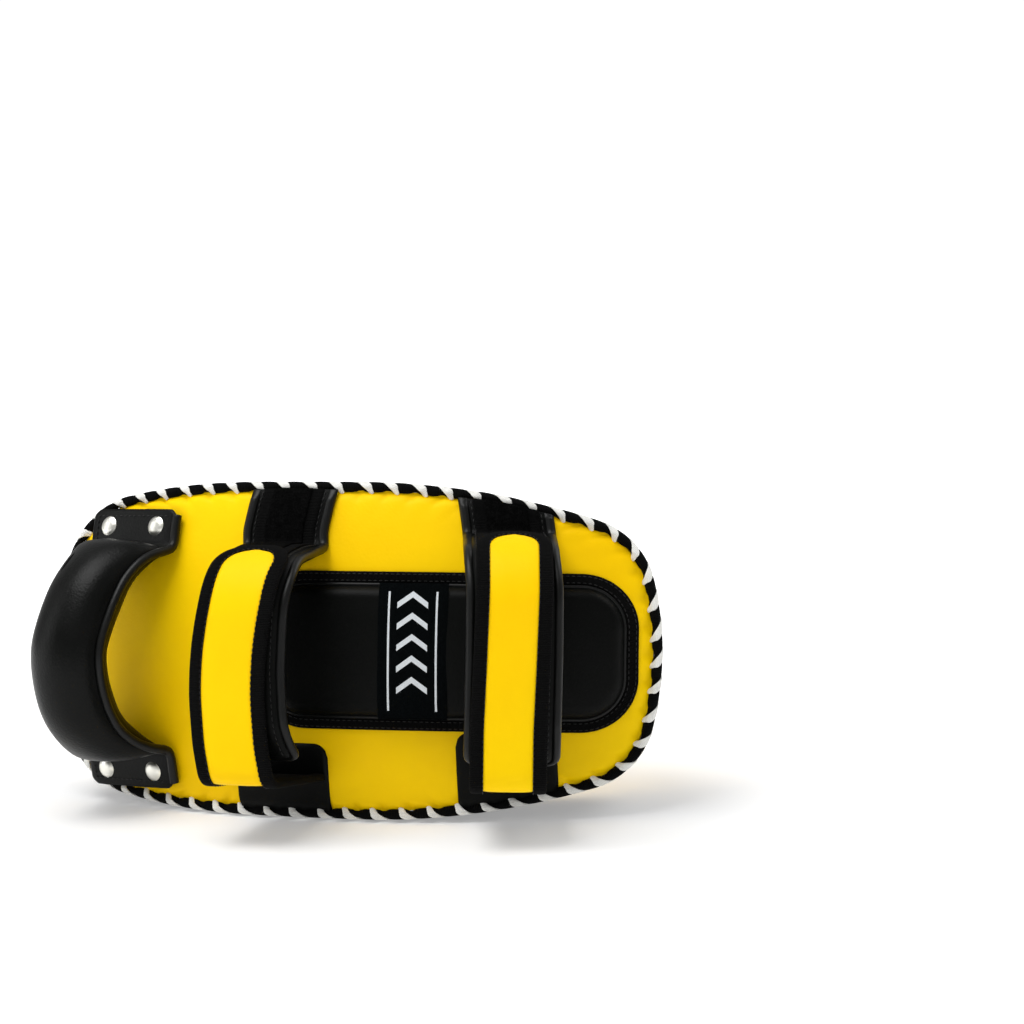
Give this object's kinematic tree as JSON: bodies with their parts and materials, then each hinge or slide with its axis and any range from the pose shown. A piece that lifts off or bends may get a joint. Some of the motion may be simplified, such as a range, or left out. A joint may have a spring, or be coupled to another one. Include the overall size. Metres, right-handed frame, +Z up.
{
  "type": "thai pad",
  "caption": "Curved kick pad with a laced rim, a riveted grip, a forearm cushion and padded forearm loops closed by hook-and-loop straps, lying on its long side.",
  "frame": {"origin": "on the ground at the middle of the pad's bounding box, pad lying on its long side", "axes": "+X along the pad from the grip end to the elbow end, +Y from the strapped back to the striking face, +Z up"},
  "size_m": [0.3994, 0.2114, 0.2078],
  "materials": {
    "yellow_leather": "smooth semi-matte synthetic leather",
    "black_leather": "fine-grained satin synthetic leather",
    "glossy_piping": "smooth glossy leather piping",
    "black_webbing": "ribbed woven tape",
    "loop_pile": "matte brushed loop pile",
    "hook_tape": "fine stiff hooks",
    "lace": "flat white braided lace",
    "foam": "closed-cell foam",
    "nickel": "polished nickel",
    "woven_label": "satin woven blank panel"
  },
  "bodies": {
    "pad": {"front_cover": "yellow_leather", "front_foam": "foam", "core_foam": "foam", "back_foam": "foam", "gusset_upper": "black_leather", "gusset_lower": "black_leather", "back_cover": "yellow_leather", "rim_welt": "black_webbing", "rim_lacing": "lace", "forearm_pad_foam": "foam", "forearm_pad_cover": "black_leather", "forearm_pad_binding": "black_webbing", "label_patch": "woven_label", "handle_core": "foam", "handle_webbing": "black_webbing", "handle_cover": "black_leather", "handle_piping": "glossy_piping", "handle_end_plates": "black_leather", "handle_rivets": "nickel", "rivet_washers": "nickel", "hand_base_band": "black_leather", "hand_base_piping": "glossy_piping", "hand_loop_tape": "loop_pile", "hand_anchor_patch": "black_leather", "hand_anchor_web": "black_webbing", "elbow_base_band": "black_leather", "elbow_base_piping": "glossy_piping", "elbow_loop_tape": "loop_pile", "elbow_anchor_patch": "black_leather", "elbow_anchor_web": "black_webbing"},
    "hand_strap": {"hand_strap_binding": "black_webbing", "hand_strap_face": "yellow_leather", "hand_strap_webbing": "black_webbing", "hand_hook_patch": "hook_tape"},
    "hand_cuff": {"hand_cuff_cover": "black_leather", "hand_cuff_foam": "foam", "hand_cuff_piping": "glossy_piping"},
    "elbow_strap": {"elbow_strap_binding": "black_webbing", "elbow_strap_face": "yellow_leather", "elbow_strap_webbing": "black_webbing", "elbow_hook_patch": "hook_tape"},
    "elbow_cuff": {"elbow_cuff_cover": "black_leather", "elbow_cuff_foam": "foam", "elbow_cuff_piping": "glossy_piping"}
  },
  "joints": [
    {"name": "hand_strap_open", "type": "hinge", "parent": "pad", "child": "hand_strap", "pos_m": [-0.032, -0.09343, 0.03794], "axis": [0.9976, -0.069, 0.0105], "range_deg": [0, 100]},
    {"name": "hand_cuff_open", "type": "hinge", "parent": "pad", "child": "hand_cuff", "pos_m": [-0.02813, -0.01748, 0.16955], "axis": [0.9976, -0.069, 0.0105], "range_deg": [-25, 0]},
    {"name": "elbow_strap_open", "type": "hinge", "parent": "pad", "child": "elbow_strap", "pos_m": [0.1266, -0.07778, 0.03557], "axis": [0.9641, 0.2626, -0.0398], "range_deg": [0, 100]},
    {"name": "elbow_cuff_open", "type": "hinge", "parent": "pad", "child": "elbow_cuff", "pos_m": [0.11186, -0.00247, 0.17536], "axis": [0.9641, 0.2626, -0.0398], "range_deg": [-25, 0]}
  ],
  "couplings": [
    {"joint": "hand_cuff_open", "follows": "hand_strap_open", "ratio": -0.25},
    {"joint": "elbow_cuff_open", "follows": "elbow_strap_open", "ratio": -0.25}
  ]
}
